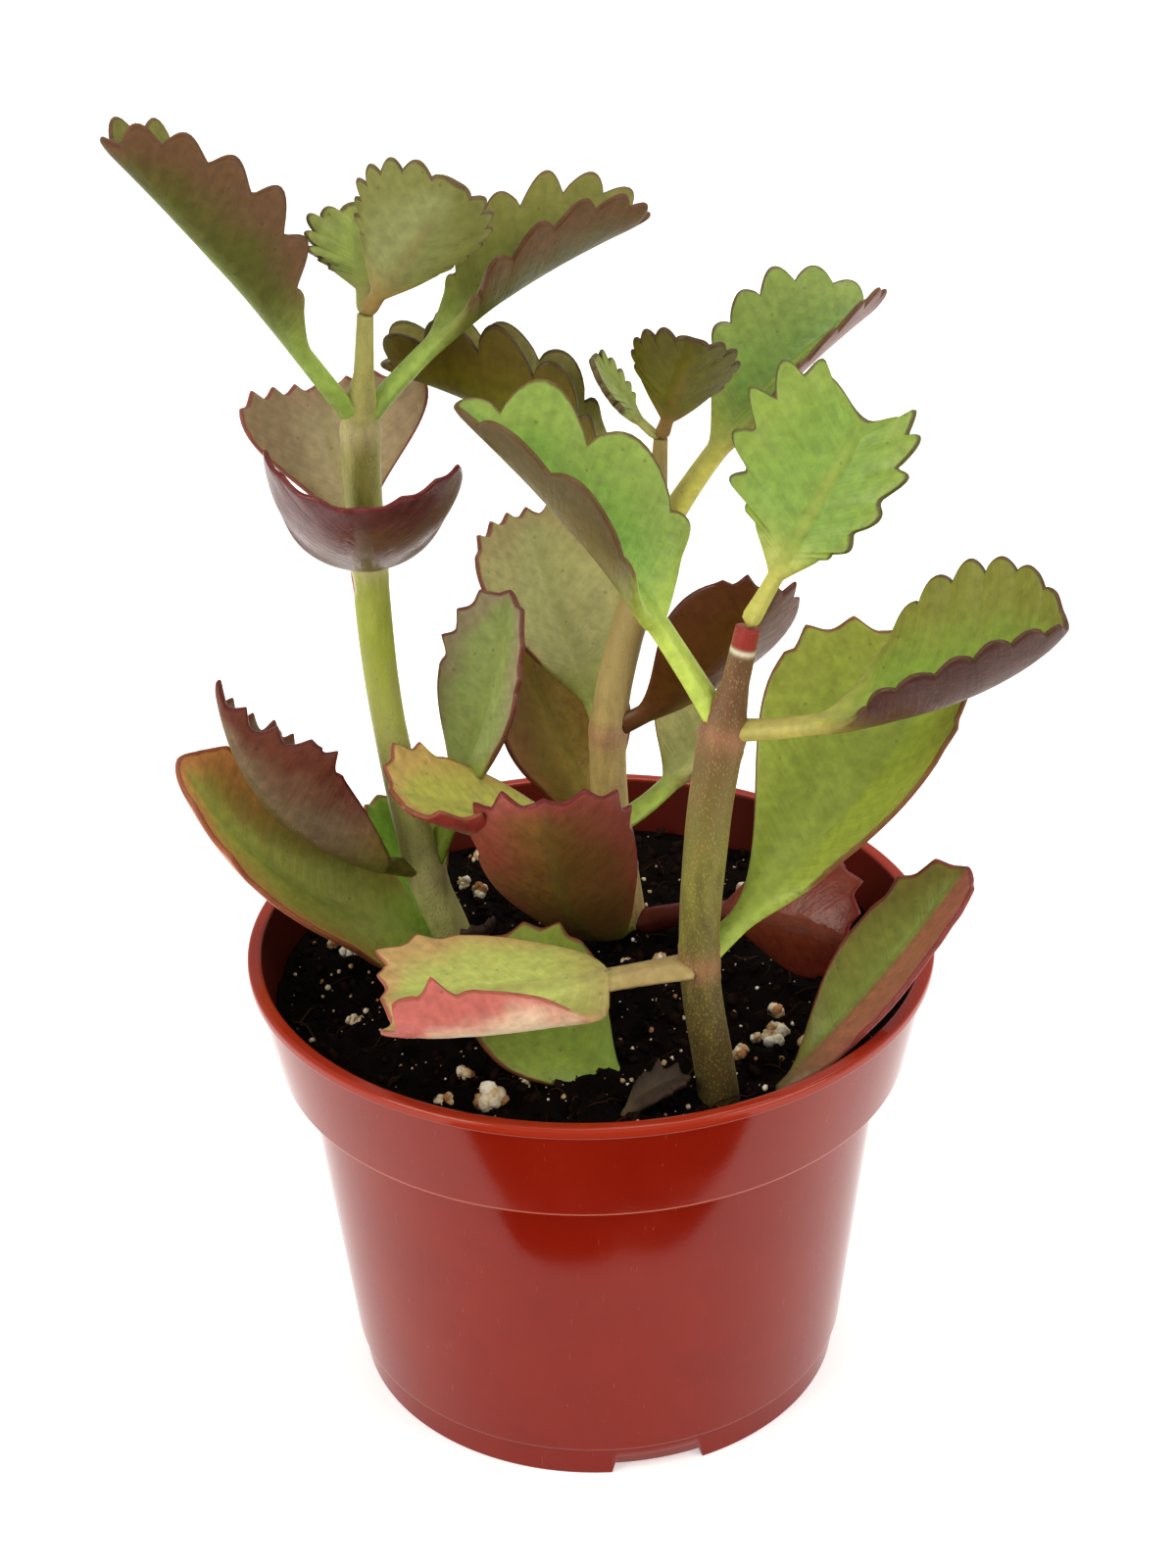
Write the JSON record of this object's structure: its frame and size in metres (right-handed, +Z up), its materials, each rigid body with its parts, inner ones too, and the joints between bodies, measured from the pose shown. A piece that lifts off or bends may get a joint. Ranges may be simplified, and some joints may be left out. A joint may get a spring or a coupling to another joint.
{
  "type": "potted kalanchoe longiflora",
  "caption": "Leafy fleshy-stemmed succulent with scalloped folded leaves, growing in gritty soil in a thin tapered nursery pot with a notched foot.",
  "frame": {"origin": "centre of the pot's foot, on the surface that it stands on", "axes": "+Z is up, -Y is the front that the picture shows, and +X is to the right seen from the front"},
  "size_m": [0.1296, 0.108, 0.2073],
  "materials": {
    "pot_plastic": "semi-gloss moulded brick red plastic",
    "soil_mix": "matt dark moist potting mix with pale perlite grit",
    "stem_skin": "satin fleshy skin with fine papillae",
    "leaf_skin": "satin waxy leaf skin, green above and flushed brown-red beneath",
    "dry_leaf": "matt papery dry leaf"
  },
  "bodies": {
    "root": {"pot": "pot_plastic", "soil": "soil_mix", "stem_left": "stem_skin", "stem_middle": "stem_skin", "stem_right": "stem_skin", "left_crown_west": "leaf_skin", "left_crown_east": "leaf_skin", "left_bud_front": "leaf_skin", "left_bud_back": "leaf_skin", "left_mid_front": "leaf_skin", "left_mid_back": "leaf_skin", "left_low_west": "leaf_skin", "left_low_east": "leaf_skin", "left_base_west": "leaf_skin", "left_base_back": "leaf_skin", "left_base_east": "leaf_skin", "middle_base_front": "leaf_skin", "middle_foot_back": "leaf_skin", "middle_low_west": "leaf_skin", "middle_low_east": "leaf_skin", "middle_mid_west": "leaf_skin", "middle_mid_east": "leaf_skin", "middle_crown_east": "leaf_skin", "middle_crown_west": "leaf_skin", "middle_bud_front": "leaf_skin", "middle_bud_back": "leaf_skin", "middle_base_east": "leaf_skin", "right_low_west": "leaf_skin", "right_low_east": "leaf_skin", "right_top_west": "leaf_skin", "right_top_east": "leaf_skin", "right_bud_leaf": "leaf_skin", "right_soil_east": "leaf_skin", "right_soil_west": "leaf_skin", "dry_leaf": "dry_leaf"}
  },
  "joints": []
}
